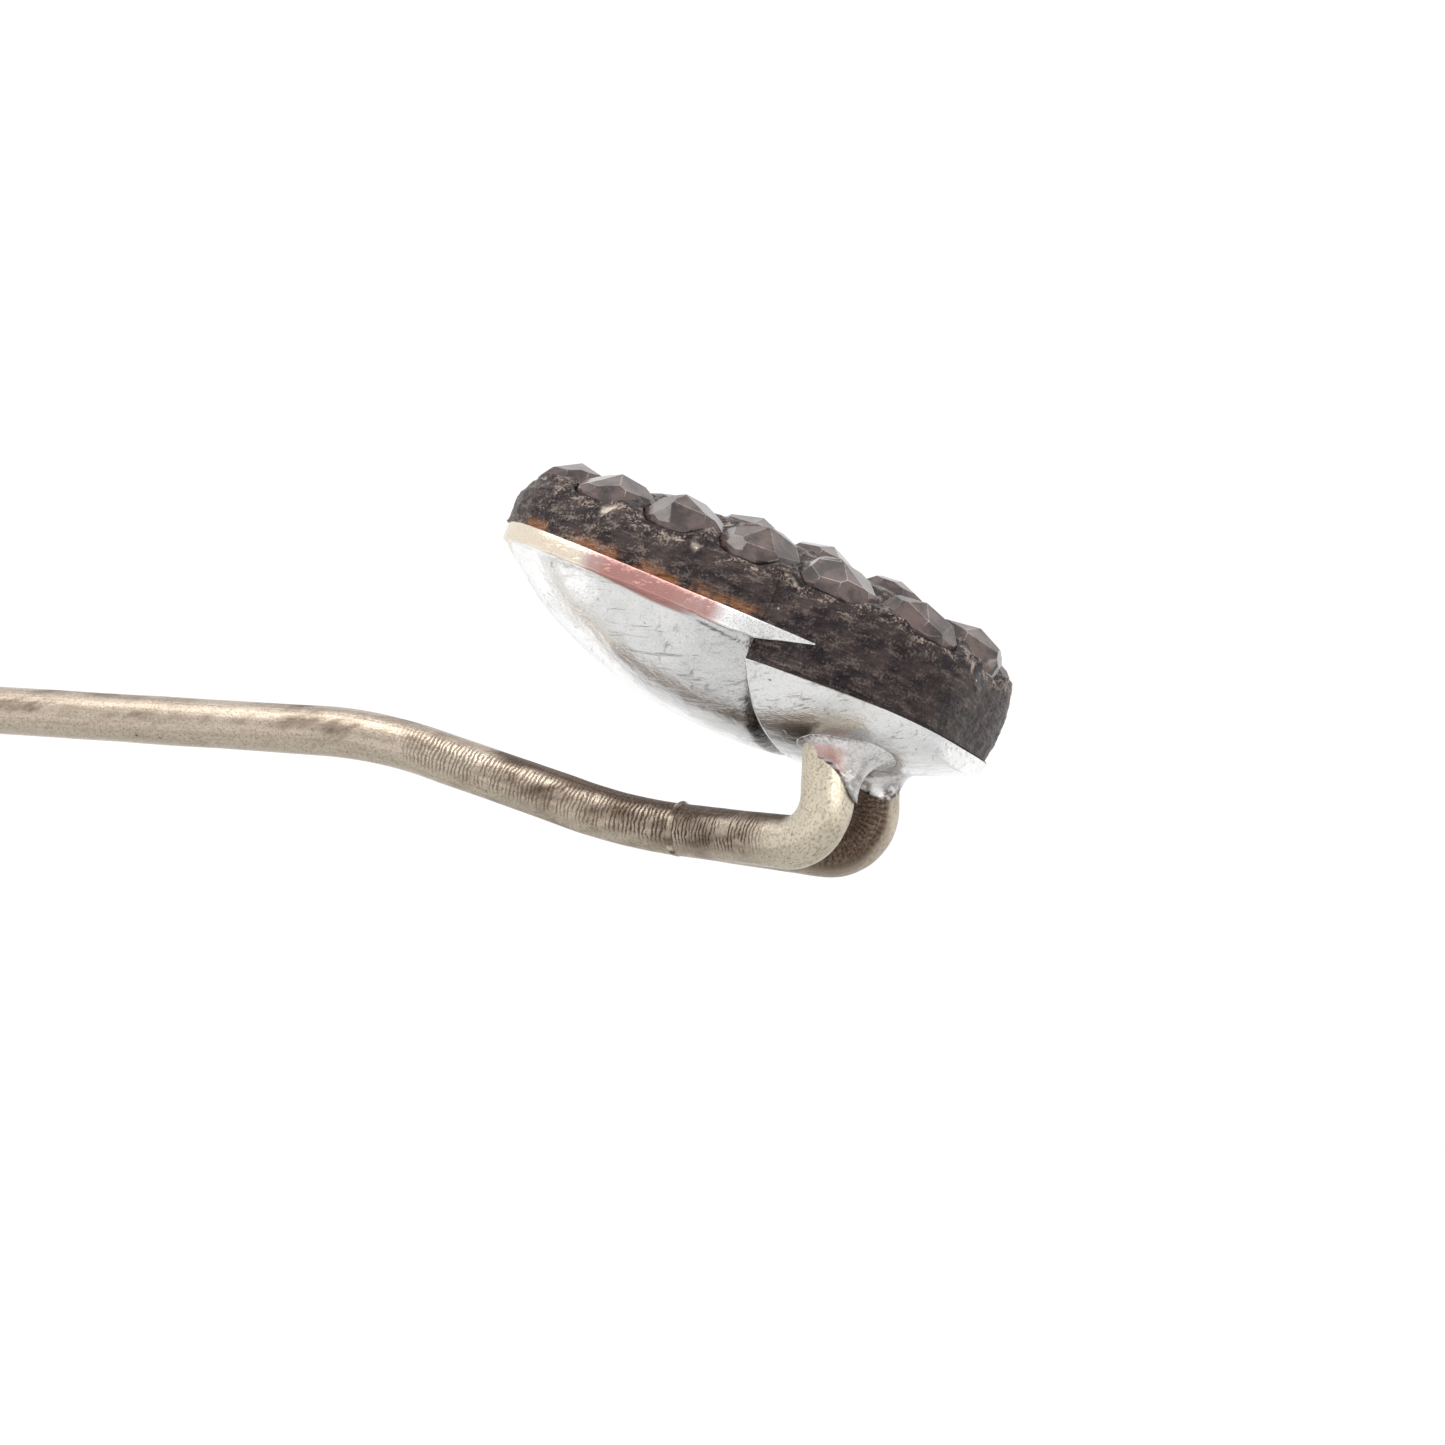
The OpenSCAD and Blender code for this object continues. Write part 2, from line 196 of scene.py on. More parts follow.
def make_piece(name, points, faces, node, material, at=None, mask=None, place=None, flat=False):
    """A new piece in place of a CAD node. Points are in mm, in the frame of place."""
    points = np.asarray(points, float)
    mesh = bpy.data.meshes.new(name)
    mesh.from_pydata((points * MM).tolist(), [], faces)
    mesh.update()
    for label, values in (("at", points if at is None else at), ("mask", mask)):
        if values is None:
            values = np.zeros_like(points)
        attribute = mesh.attributes.new(label, "FLOAT_VECTOR", "POINT")
        attribute.data.foreach_set("vector", np.asarray(values, np.float32).ravel())
    if place is not None:
        moved = place.copy()
        moved.translation = place.translation * MM
        mesh.transform(moved)
    if not flat:
        mesh.shade_smooth()
    mesh.materials.append(material)
    piece = bpy.data.objects.new(name, mesh)
    bpy.context.scene.collection.objects.link(piece)
    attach(piece, "root")
    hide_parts(node)
    return piece


def grid_faces(rows, columns, closed, base=0):
    """Quads between consecutive rows of a grid, with the columns joined up in a ring if closed."""
    faces = []
    for r in range(rows - 1):
        for c in range(columns if closed else columns - 1):
            a, b = base + r * columns + c, base + r * columns + (c + 1) % columns
            faces.append((a, b, b + columns, a + columns))
    return faces


def sheet_faces(rows, columns):
    """Faces of a sheet: an outer grid of points, then an inner one, joined all round their borders."""
    count = rows * columns
    faces = [f[::-1] for f in grid_faces(rows, columns, False)]
    faces += grid_faces(rows, columns, False, count)
    border = list(range(columns)) + [r * columns + columns - 1 for r in range(1, rows)]
    border += [(rows - 1) * columns + c for c in range(columns - 2, -1, -1)]
    border += [r * columns for r in range(rows - 2, 0, -1)]
    faces += [(a, b, b + count, a + count) for a, b in zip(border, border[1:] + border[:1])]
    return faces


def tube(line, radii, sides):
    """Rings round a line in the XZ plane. Returns points, faces, length along, and turn."""
    line = np.asarray(line, float)
    along = np.gradient(line, axis=0)
    along /= np.linalg.norm(along, axis=1)[:, None]
    side = np.array((0, 1, 0), float)
    third = np.cross(along, side)
    turn = np.arange(sides) * 2 * math.pi / sides
    length = np.concatenate([[0], np.cumsum(np.linalg.norm(np.diff(line, axis=0), axis=1))])
    ring = np.cos(turn)[None, :, None] * side + np.sin(turn)[None, :, None] * -third[:, None, :]
    points = line[:, None, :] + ring * np.asarray(radii, float)[:, None, None]
    faces = grid_faces(len(line), sides, True)
    faces.append(tuple(range(sides))[::-1])
    faces.append(tuple(range((len(line) - 1) * sides, len(line) * sides)))
    return points.reshape(-1, 3), faces, np.repeat(length, sides), np.tile(turn, len(line))


def arc(centre, radius, start, end, count):
    """Points of an arc in the XZ plane; angles are from +X towards +Z."""
    t = np.linspace(start, end, count)
    return np.stack([centre[0] + radius * np.cos(t), 0 * t, centre[1] + radius * np.sin(t)], 1)


# ---------------------------------------------------------------- materials
class Shader:
    """A procedural material; its patterns are laid out in mm by each piece's own coordinates."""

    def __init__(self, name, attribute=True):
        self.material = bpy.data.materials.new(name)
        self.material.use_nodes = True
        self.tree = self.material.node_tree
        self.main = self.tree.nodes["Principled BSDF"]
        if attribute:
            self.at = self.attribute("at")
            self.mask = self.add("ShaderNodeSeparateXYZ", Vector=self.attribute("mask"))
        else:
            place = self.add("ShaderNodeTexCoord").outputs["Object"]
            self.at = self.add("ShaderNodeMapping", Vector=place, Scale=(1 / MM,) * 3).outputs[0]

    def add(self, kind, **values):
        node = self.tree.nodes.new(kind)
        for label, value in values.items():
            self.set(node, label.replace("_", " "), value)
        return node

    def set(self, node, label, value):
        socket = node.inputs[label]
        if isinstance(value, bpy.types.Node):
            value = value.outputs[0]
        if isinstance(value, bpy.types.NodeSocket):
            self.tree.links.new(value, socket)
        elif socket.type == "RGBA":
            socket.default_value = (*value[:3], 1)
        else:
            socket.default_value = value

    def attribute(self, name):
        node = self.tree.nodes.new("ShaderNodeAttribute")
        node.attribute_name = name
        return node.outputs["Vector"]

    def noise(self, scale, stretch=(1, 1, 1), turn=(0, 0, 0), detail=3.0, roughness=0.55):
        turned = self.add("ShaderNodeMapping", Vector=self.at, Rotation=turn)
        spread = self.add("ShaderNodeMapping", Vector=turned, Scale=stretch)
        return self.add(
            "ShaderNodeTexNoise", Vector=spread, Scale=scale, Detail=detail, Roughness=roughness
        ).outputs["Fac"]

    def spots(self, scale, size):
        """Small round spots: 1 in the middle of each, 0 outside."""
        cells = self.add("ShaderNodeTexVoronoi", Vector=self.at, Scale=scale)
        return self.range(cells.outputs["Distance"], size, 0.0)

    def range(self, value, low, high, to_low=0.0, to_high=1.0):
        node = self.tree.nodes.new("ShaderNodeMapRange")
        node.interpolation_type = "SMOOTHSTEP"
        for label, v in (
            ("Value", value), ("From Min", low), ("From Max", high), ("To Min", to_low), ("To Max", to_high)
        ):
            self.set(node, label, v)
        return node.outputs[0]

    def math(self, operation, a, b):
        node = self.tree.nodes.new("ShaderNodeMath")
        node.operation = operation
        for socket, value in zip(node.inputs, (a, b)):
            if isinstance(value, (int, float)):
                socket.default_value = value
            else:
                self.tree.links.new(value, socket)
        return node.outputs[0]

    def mix(self, share, a, b):
        node = self.tree.nodes.new("ShaderNodeMix")
        node.data_type = "RGBA"
        sockets = [s for s in node.inputs if s.type == "RGBA"]
        self.tree.links.new(share, node.inputs[0])
        for socket, value in zip(sockets, (a, b)):
            if isinstance(value, tuple):
                socket.default_value = (*value, 1)
            else:
                self.tree.links.new(value, socket)
        return next(s for s in node.outputs if s.type == "RGBA")

    def bump(self, height, depth, before=None):
        """A bump of depth mm at height 1."""
        node = self.add("ShaderNodeBump", Height=height, Distance=depth * MM, Strength=1.0)
        if before is not None:
            self.tree.links.new(before, node.inputs["Normal"])
        return node.outputs[0]

    def finish(self, **values):
        for label, value in values.items():
            self.set(self.main, label.replace("_", " "), value)
        return self.material


def wire_material(name):
    """Warm white-metal wire: brown tarnish in the hollows, file marks across it, fine draw lines; its masks
    also bring painted reflections, dark in the brown tint and bright in the pale tone.
    """
    s = Shader(name)
    marks, brown_tint, pale = s.mask.outputs
    lines = s.add("ShaderNodeTexWave", Vector=s.at, Scale=2.9, Distortion=5.0, Detail=3.0, Detail_Scale=1.6)
    hatch = s.range(lines.outputs["Fac"], 0.42, 0.9)
    broken = s.range(s.noise(5.5, (1.0, 0.35, 0.35), (0, 0, 0.1), 3, 0.6), 0.36, 0.5)
    hatch = s.math("MULTIPLY", s.math("MULTIPLY", hatch, broken), marks)
    drawn = s.noise(9.0, (0.05, 1.0, 1.0), (0, 0, 0), 3)
    cloud = s.noise(0.9, (0.6, 1.4, 1.4), (0.4, 0.3, 0.2), 5, 0.65)
    grain = s.noise(17.0, detail=4, roughness=0.7)
    # Darkening: real tarnish, with the painted dark reflections that the masks put in the brown tint
    darkening = s.range(s.math("ADD", cloud, s.math("MULTIPLY", brown_tint, 0.42)), 0.5, 0.86)
    colour = s.mix(darkening, (0.55, 0.47, 0.385), (0.1, 0.068, 0.053))
    colour = s.mix(s.range(drawn, 0.46, 0.74, 0, 0.5), colour, (0.27, 0.21, 0.165))
    # Pale tone: real paler metal in places, and a painted reflection of the bright floor along the wire's
    # underside
    colour = s.mix(s.math("MULTIPLY", pale, 0.75), colour, (0.68, 0.62, 0.49))
    colour = s.mix(s.math("MULTIPLY", hatch, 0.95), colour, (0.055, 0.035, 0.027))
    blotch = s.range(s.noise(5.0, detail=5, roughness=0.7), 0.53, 0.68, 0, 0.6)
    colour = s.mix(s.range(grain, 0.46, 0.68, 0, 0.75), colour, (0.25, 0.185, 0.13))
    colour = s.mix(s.math("MULTIPLY", blotch, s.range(pale, 0, 1, 0.35, 1)), colour, (0.33, 0.27, 0.2))
    pits = s.math("MULTIPLY", s.spots(2.1, 0.13), s.range(cloud, 0.45, 0.6))
    colour = s.mix(pits, colour, (0.03, 0.022, 0.02))
    normal = s.bump(hatch, -0.03)
    normal = s.bump(s.math("ADD", drawn, grain), 0.011, normal)
    normal = s.bump(cloud, 0.03, normal)
    roughness = s.range(s.math("ADD", darkening, hatch), 0, 1, 0.29, 0.52)
    return s.finish(Base_Color=colour, Metallic=1.0, Normal=normal, Roughness=roughness)


def solder_material():
    """Grey solder that has run: lumpy, pitted, and pink-brown where it meets the wire."""
    s = Shader("solder")
    dirt, brown_tint, pale = s.mask.outputs
    lumps = s.noise(2.2, detail=5, roughness=0.6)
    fine = s.noise(14.0, detail=3)
    streak = s.noise(3.0, (0.4, 1.0, 2.2), (0.2, 0.3, 0.5), 5, 0.65)
    colour = s.mix(s.range(lumps, 0.4, 0.66), (0.7, 0.69, 0.68), (0.36, 0.34, 0.33))
    darkening = s.math("MULTIPLY", dirt, s.range(streak, 0.4, 0.56))
    colour = s.mix(darkening, colour, (0.085, 0.06, 0.055))
    colour = s.mix(s.math("MULTIPLY", pale, s.range(fine, 0.35, 0.6)), colour, (0.86, 0.86, 0.855))
    colour = s.mix(s.math("MULTIPLY", brown_tint, s.range(lumps, 0.3, 0.5, 1, 0.7)), colour, (0.4, 0.2, 0.17))
    pits = s.math("MULTIPLY", s.spots(1.9, 0.2), s.range(pale, 0.0, 1.0, 1.0, 0.2))
    colour = s.mix(pits, colour, (0.02, 0.017, 0.017))
    normal = s.bump(lumps, 0.02)
    normal = s.bump(fine, 0.008, normal)
    normal = s.bump(pits, -0.06, normal)
    roughness = s.range(fine, 0.3, 0.7, 0.22, 0.42)
    return s.finish(Base_Color=colour, Metallic=1.0, Normal=normal, Roughness=roughness)


def oxidised_material(name="oxidised_silver", attribute=True):
    """Blackened silver: mottled, lumpy, rubbed pale on its high spots and warm brown by the rim."""
    s = Shader(name, attribute)
    mottle = s.noise(1.5, (1, 1, 1.6), (0.3, 0.5, 0.1), 6, 0.62)
    lumps = s.noise(4.5, (0.55, 0.55, 1.3), (0.1, 0.2, 0), 5, 0.62)
    grain = s.noise(18.0, detail=4, roughness=0.7)
    streak = s.noise(5.0, (0.22, 0.22, 2.4), (0.12, 0.05, 0), 4, 0.6)
    colour = s.mix(s.range(mottle, 0.34, 0.7), (0.022, 0.018, 0.021), (0.075, 0.057, 0.054))
    colour = s.mix(s.range(grain, 0.56, 0.82, 0, 0.35), colour, (0.16, 0.13, 0.12))
    scuff = s.math("MULTIPLY", s.range(streak, 0.58, 0.72), s.range(mottle, 0.4, 0.56))
    colour = s.mix(s.math("MULTIPLY", scuff, 0.45), colour, (0.26, 0.205, 0.185))
    if attribute:
        cut, rust, wear = s.mask.outputs
        patch = s.math("MULTIPLY", rust, s.range(s.noise(1.3, detail=5), 0.42, 0.55))
        colour = s.mix(patch, colour, (0.27, 0.12, 0.055))
        rub = s.math("MULTIPLY", wear, s.range(s.math("ADD", lumps, grain), 0.98, 1.22))
        colour = s.mix(rub, colour, (0.42, 0.34, 0.29))
        facet = s.math("MULTIPLY", cut, s.range(lumps, 0.36, 0.5, 0.4, 1))
        colour = s.mix(facet, colour, (0.66, 0.57, 0.49))
    specks = s.math("MULTIPLY", s.spots(1.35, 0.07), s.range(mottle, 0.5, 0.55))
    colour = s.mix(specks, colour, (0.8, 0.76, 0.72))
    normal = s.bump(lumps, 0.13)
    normal = s.bump(streak, 0.05, normal)
    normal = s.bump(grain, 0.014, normal)
    roughness = s.range(mottle, 0.3, 0.7, 0.32, 0.52)
    return s.finish(Base_Color=colour, Metallic=0.92, Normal=normal, Roughness=roughness)


def bright_material():
    """Hand-polished silver: fine scratches in many directions, faint stains, tinted along its rim, and
    darkened where its grey channel marks real dulling round the solder and paints shade and reflection by
    the step.
    """
    s = Shader("bright_silver")
    grey, cream, rose = s.mask.outputs
    hand = s.noise(7.0, (0.06, 1.0, 1.0), (0, 0.2, 0.35), 4, 0.7)
    across = s.noise(6.0, (1.0, 0.08, 0.5), (0, 0, -0.4), 4, 0.7)
    cloud = s.noise(0.8, detail=5, roughness=0.6)
    fine = s.noise(24.0, detail=3, roughness=0.7)
    scratch = s.math("MAXIMUM", s.range(hand, 0.57, 0.7), s.range(across, 0.58, 0.72))
    scratch = s.math("MULTIPLY", scratch, s.range(cloud, 0.38, 0.6, 0.3, 1.0))
    colour = s.mix(s.range(cloud, 0.42, 0.72, 0, 0.5), (0.95, 0.95, 0.945), (0.66, 0.67, 0.68))
    colour = s.mix(s.math("MULTIPLY", scratch, 0.75), colour, (0.3, 0.29, 0.29))
    colour = s.mix(s.math("MULTIPLY", s.range(fine, 0.52, 0.66), 0.42), colour, (0.33, 0.33, 0.34))
    colour = s.mix(s.math("MULTIPLY", cream, s.range(fine, 0.3, 0.6, 0.75, 1.0)), colour, (0.76, 0.64, 0.49))
    colour = s.mix(s.math("MULTIPLY", rose, s.range(cloud, 0.3, 0.6, 0.8, 1.0)), colour, (0.43, 0.225, 0.2))
    # The grey channel darkens: real dulling round the solder, a scratch, and on the front shell painted
    # shade and painted reflection by the step
    worn = s.math("MULTIPLY", grey, s.range(s.math("ADD", hand, fine), 0.75, 1.15, 0.55, 1.0))
    colour = s.mix(worn, colour, (0.1, 0.095, 0.095))
    pits = s.spots(0.95, 0.055)
    colour = s.mix(pits, colour, (0.03, 0.027, 0.027))
    normal = s.bump(scratch, -0.007)
    normal = s.bump(cloud, 0.05, normal)
    normal = s.bump(fine, 0.0025, normal)
    roughness = s.range(cloud, 0.3, 0.7, 0.13, 0.26)
    return s.finish(Base_Color=colour, Metallic=1.0, Normal=normal, Roughness=roughness)


def foil_material():
    """Tarnished foil: grey, crinkled and spotted."""
    s = Shader("foil", attribute=False)
    crinkle = s.noise(5.0, detail=5, roughness=0.65)
    colour = s.mix(s.range(crinkle, 0.4, 0.65), (0.42, 0.4, 0.4), (0.12, 0.105, 0.1))
    normal = s.bump(crinkle, 0.06)
    roughness = s.range(crinkle, 0.3, 0.7, 0.2, 0.4)
    return s.finish(Base_Color=colour, Metallic=1.0, Normal=normal, Roughness=roughness)


def stone_material():
    """Smoky rose-cut stone with faint clouds and worn facet edges."""
    s = Shader("stone")
    wear = s.mask.outputs[2]
    cloud = s.noise(1.7, detail=5, roughness=0.65)
    specks = s.noise(16.0, detail=3, roughness=0.7)
    colour = s.mix(s.range(cloud, 0.4, 0.62), (0.19, 0.125, 0.11), (0.045, 0.029, 0.027))
    dust = s.math("MULTIPLY", s.range(specks, 0.58, 0.76), 0.5)
    colour = s.mix(dust, colour, (0.24, 0.19, 0.18))
    edge = s.math("MULTIPLY", s.range(wear, 0.2, 1.0), s.range(cloud, 0.36, 0.56, 0.8, 0.25))
    colour = s.mix(edge, colour, (0.75, 0.72, 0.7))
    normal = s.bump(specks, 0.0015)
    roughness = s.range(s.math("ADD", specks, wear), 0.4, 1.4, 0.03, 0.3)
    material = s.finish(Base_Color=colour, Normal=normal, Roughness=roughness)
    s.main.inputs["Transmission Weight"].default_value = STONE_TRANSMISSION
    s.main.inputs["IOR"].default_value = STONE_IOR
    return material


wire = wire_material("wire")
seam_look = wire_material("seam_solder")
solder = solder_material()
oxidised = oxidised_material()
oxidised_plain = oxidised_material("oxidised_step", attribute=False)
bright = bright_material()
foil = foil_material()
stone_look = stone_material()


# ---------------------------------------------------------------- the shank
def build_shank():
    """The pin's wire from its point to the seam, tarnished and file-marked near the seam, with painted
    reflections darkening its top and front and paling its underside.
    """
    tip = -STRAIGHT_L - POINT_L
    nose = np.linspace(math.pi, math.pi / 2, 7)[1:]
    xs, rs = list(tip + TIP_R * np.cos(nose)), list(TIP_R * np.sin(nose))
    taper = np.linspace(0, 1, 33)[1:]
    xs += list(tip + POINT_L * taper)
    rs += list(TIP_R + (WIRE_R - TIP_R) * taper)
    xs += list(np.linspace(-STRAIGHT_L, 0, 150)[1:])
    rs += [WIRE_R] * 149
    line = [(x, 0, 0) for x in xs]
    first = arc((0, -NECK_R), NECK_R, math.pi / 2, math.pi / 2 - NECK_ANGLE, 40)[1:]
    way = np.array([math.cos(NECK_ANGLE), 0, -math.sin(NECK_ANGLE)])
    run = first[-1] + np.linspace(0, NECK_RUN, 50)[1:, None] * way
    neck_turn = np.array((math.sin(NECK_ANGLE), math.cos(NECK_ANGLE)))
    centre = np.array((neck_mid.x, neck_mid.z)) + NECK_BACK_R * neck_turn
    start, end = -math.pi / 2 - NECK_ANGLE, -math.pi / 2 - FORK_DIP
    last = arc(centre, NECK_BACK_R, start, end, 40)[1:]
    line = np.concatenate([line, first, run, last])
    radii = np.concatenate([rs, np.full(len(line) - len(rs), WIRE_R)])
    points, faces, along, turn = tube(line, radii, WIRE_SIDES)
    to_seam = along.max() - along
    # Slight dents
    worn = 0.012 * rough(points * [0.5, 1, 1], 0.9, 1) - SKIN
    centres = np.repeat(line, WIRE_SIDES, axis=0)
    share = np.repeat(radii / WIRE_R, WIRE_SIDES)
    points = centres + (points - centres) * (1 + worn * share / WIRE_R)[:, None]
    at = np.stack([to_seam, WIRE_R * np.cos(turn), WIRE_R * np.sin(turn)], 1)
    up, front = -np.sin(turn), -np.cos(turn)
    flank = smooth(up, -0.75, -0.35) * (1 - smooth(up, 0.55, 0.85))
    away = smooth(to_seam, 0.9, 2.2)
    filed = 0.95 * (1 - away) + 0.6 * away * (1 - smooth(to_seam, 6.5, 8))
    by_seam = 1 - smooth(to_seam, 2.0, 7.0)
    # Brown tint: real tarnish all round near the seam, and a darker top, strongest near the seam, where it
    # is a painted reflection of the dark head above
    brown_tint = 0.3 * by_seam + (0.25 + 0.65 * by_seam) * smooth(up, 0.45, 0.9)
    # Painted reflection: a dark band along the wire's front, standing for the dark camera side reflected in
    # it
    brown_tint += 0.3 * smooth(front, 0.5, 0.95) * smooth(up, -0.35, 0.05) * (1 - smooth(up, 0.3, 0.6))
    # The third channel pales the underside: a painted reflection of the bright floor below
    mask = np.stack([filed * flank, brown_tint, 0.5 * smooth(-up, 0.35, 0.8)], 1)
    make_piece("shank_wire", points, faces, "shank", wire, at, mask)


def build_leg(side, name, node):
    """A leg of the fork: mitred to the other one down the fork's middle, and sunk into the plate."""
    run = np.stack([np.linspace(0, LEG_RUN, 60), np.zeros(60), np.zeros(60)], 1)
    bend = arc((LEG_RUN, LEG_BEND_R), LEG_BEND_R, -math.pi / 2, LEG_BEND_ANGLE - math.pi / 2, 40)[1:]
    up = np.array([math.cos(LEG_BEND_ANGLE), 0, math.sin(LEG_BEND_ANGLE)])
    rise = bend[-1] + np.linspace(0, LEG_H + WIRE_R, 30)[1:, None] * up
    line = np.concatenate([[(-WIRE_R, 0, 0)], run, bend, rise])
    points, faces, along, turn = tube(line, np.full(len(line), WIRE_R), WIRE_SIDES)
    centres = np.repeat(line, WIRE_SIDES, axis=0)
    worn = 0.014 * rough(points, 0.9, 3 + side) - SKIN
    points = centres + (points - centres) * (1 + worn / WIRE_R)[:, None]
    leg_turn = Matrix.Rotation(side * FORK_ANGLE, 3, "Z")
    points = points @ np.array(leg_turn).T
    points[:, 1] = side * np.maximum(side * points[:, 1], 0.0)
    # The end at the seam is flat against the shank's end face
    points[:, 0] = np.maximum(points[:, 0], 0.0)
    at = np.stack([-along, WIRE_R * np.cos(turn), WIRE_R * np.sin(turn)], 1)
    up = -np.sin(turn)
    flank = smooth(up, -0.75, -0.4) * (1 - smooth(up, 0.6, 0.9))
    # Brown tint: real tarnish near the seam, a painted reflection of the dark head above darkening the near
    # leg's top, and the far leg darker all over, less so underneath
    if side < 0:
        filed = (1 - smooth(along, 2.9, 3.9)) * flank
        brown_tint = 0.5 * (1 - smooth(along, 1.6, 3.6))
        brown_tint += 0.75 * smooth(up, 0.4, 0.85) * (1 - smooth(along, 4.0, 4.8))
        # Pale tone: real cream colour up the near leg's rise, and a painted reflection of the bright floor
        # along its underside
        pale = smooth(along, 3.0, 4.4) * (1 - 0.8 * smooth(up, 0.5, 0.9)) + 0.3 * smooth(-up, 0.3, 0.8)
    else:
        filed = 0.7 * flank
        brown_tint = 1.15 - 0.7 * smooth(-up, 0.35, 0.9)
        # Pale tone: a painted reflection of the bright floor along the far leg's underside
        pale = 0.6 * smooth(-up, 0.5, 0.95)
    mask = np.stack([filed, brown_tint, np.clip(pale, 0, 1)], 1)
    make_piece(name, points, faces, node, wire, at, mask, on_fork)


def build_seam():
    """A thin, uneven collar of solder over the seam, thicker on top."""
    sides, rows = 64, 9
    turn = np.arange(sides) * 2 * math.pi / sides
    points = []
    ragged = np.array([noise.noise(Vector((math.cos(t) * 3, math.sin(t) * 3, 0))) for t in turn])
    for share in np.linspace(0, 1, rows):
        swell = math.sin(math.pi * share) ** 0.5 if 0 < share < 1 else 0
        edge = np.array([noise.noise(Vector((math.cos(t) * 2, math.sin(t) * 2, share * 2))) for t in turn])
        proud = swell * (0.012 + 0.05 * np.clip(np.sin(turn), 0, 1) ** 4 + 0.012 * edge) - 0.004
        wide = SEAM_W * (1 + 0.35 * ragged)
        for t, p, w in zip(turn, proud, wide):
            points.append((-w * (1 - share), (WIRE_R + p) * math.cos(t), (WIRE_R + p) * math.sin(t)))
    bore = WIRE_R - 0.02
    points += [(x, bore * math.cos(t), bore * math.sin(t)) for x in (0, -SEAM_W) for t in turn]
    faces = grid_faces(rows + 2, sides, True)
    last = (rows + 1) * sides
    faces += [(last + c, last + (c + 1) % sides, (c + 1) % sides, c) for c in range(sides)]
    patchy = np.clip(0.45 + 1.6 * np.tile(ragged, rows + 2), 0.05, 1)
    mask = np.stack([0.5 - 0.4 * patchy, 0.75 - 0.6 * patchy, 0.9 * patchy], 1)
    make_piece("seam_solder", points, faces, "fork_solder", seam_look, mask=mask, place=on_fork)


def build_foot(side, name, node):
    """Solder that has run up to the back plate and down the leg: a hollow-sided, uneven fillet."""
    sides, rows = 72, 16
    top_x = leg_bend_end.x + LEG_H * leg_way.x
    top_z = leg_bend_end.z + LEG_H * leg_way.z
    foot = on_head.inverted() @ (on_fork @ Vector((top_x, side * top_x * math.tan(FORK_ANGLE), top_z)))
    leg_turn = on_head.inverted().to_3x3() @ on_fork.to_3x3() @ Matrix.Rotation(side * FORK_ANGLE, 3, "Z")
    axis = (leg_turn @ Vector((math.cos(LEG_BEND_ANGLE), 0, math.sin(LEG_BEND_ANGLE)))).normalized()
    base = np.array((foot.x, foot.y, plate_z(foot.x, foot.y)))
    turn = np.arange(sides) * 2 * math.pi / sides
    circle = [Vector((math.cos(t) * 1.3, math.sin(t) * 1.3, 4 * side)) for t in turn]
    wander = np.array([noise.fractal(place, 1, 2, 3) for place in circle])
    # It has run furthest out between the legs and towards the head's outer end
    way = 0.6 if side < 0 else -1.1
    web = smooth(np.cos(turn - way), -0.3, 1.0)
    reach, fall = (1.5, 1.2) if side < 0 else (0.7, 0.5)
    outer = WIRE_R + SOLDER_W * (0.42 + reach * web + 0.08 * wander)
    drop = SOLDER_W * (0.62 + fall * web + 0.1 * np.roll(wander, 20))
    points, mask = [], []
    for r in range(rows):
        share = r / (rows - 1)
        # From 0 on the wire to 1 on the plate, along a quarter of a hollow curve
        out = (1 - math.cos(share * math.pi / 2)) ** 1.15
        down = (1 - math.sin(share * math.pi / 2)) ** 1.1
        level = smooth(share, 0.0, 0.75)
        for t, o, d, w in zip(turn, outer, drop, web):
            radius = WIRE_R + 0.012 + (o - WIRE_R) * out
            sink = d * down
            p = base - np.array(axis) * sink + radius * np.array((math.cos(t), math.sin(t), 0))
            # The lower edge is square to the leg, and the upper one lies on the plate
            skin = plate_z(p[0], p[1])
            p[2] = min(p[2] * (1 - level) + (skin - sink) * level, skin - 0.004) + 0.012 * (share == 1)
            points.append(p)
            front = 0.5 - 0.5 * math.sin(t)
            pink = smooth(share, 0.02, 0.1) * (1 - smooth(share, 0.35, 0.6)) * smooth(front, 0.8, 0.95)
            dirt = (1 - smooth(share, 0.1, 0.75)) * (1 - pink) * (1.0 if side > 0 else 1 - 0.6 * w)
            mask.append((dirt, 0.95 * pink * (side < 0), smooth(share, 0.25, 0.9)))
    # Two hidden rings inside the plate, the second one near the leg's middle
    for lift, radius in ((0.12, 0.9), (0.12, 0.2)):
        for t, o in zip(turn, outer):
            p = base + radius * o * np.array((math.cos(t), math.sin(t), 0))
            p[2] = plate_z(p[0], p[1]) + lift
            points.append(p)
            mask.append((0, 0, 0))
    faces = grid_faces(rows + 2, sides, True)
    faces.append(tuple(range(sides))[::-1])
    faces.append(tuple(range((rows + 1) * sides, (rows + 2) * sides)))
    make_piece(name, points, faces, node, solder, mask=mask, place=on_head)


# ---------------------------------------------------------------- the head's metal
def nearest_gap(x, y):
    """Distance from each point to the edge of the nearest stone; negative inside one."""
    away = np.hypot(x[:, None] - stone_xyr[None, :, 0], y[:, None] - stone_xyr[None, :, 1])
    return (away - stone_xyr[None, :, 2]).min(axis=1)


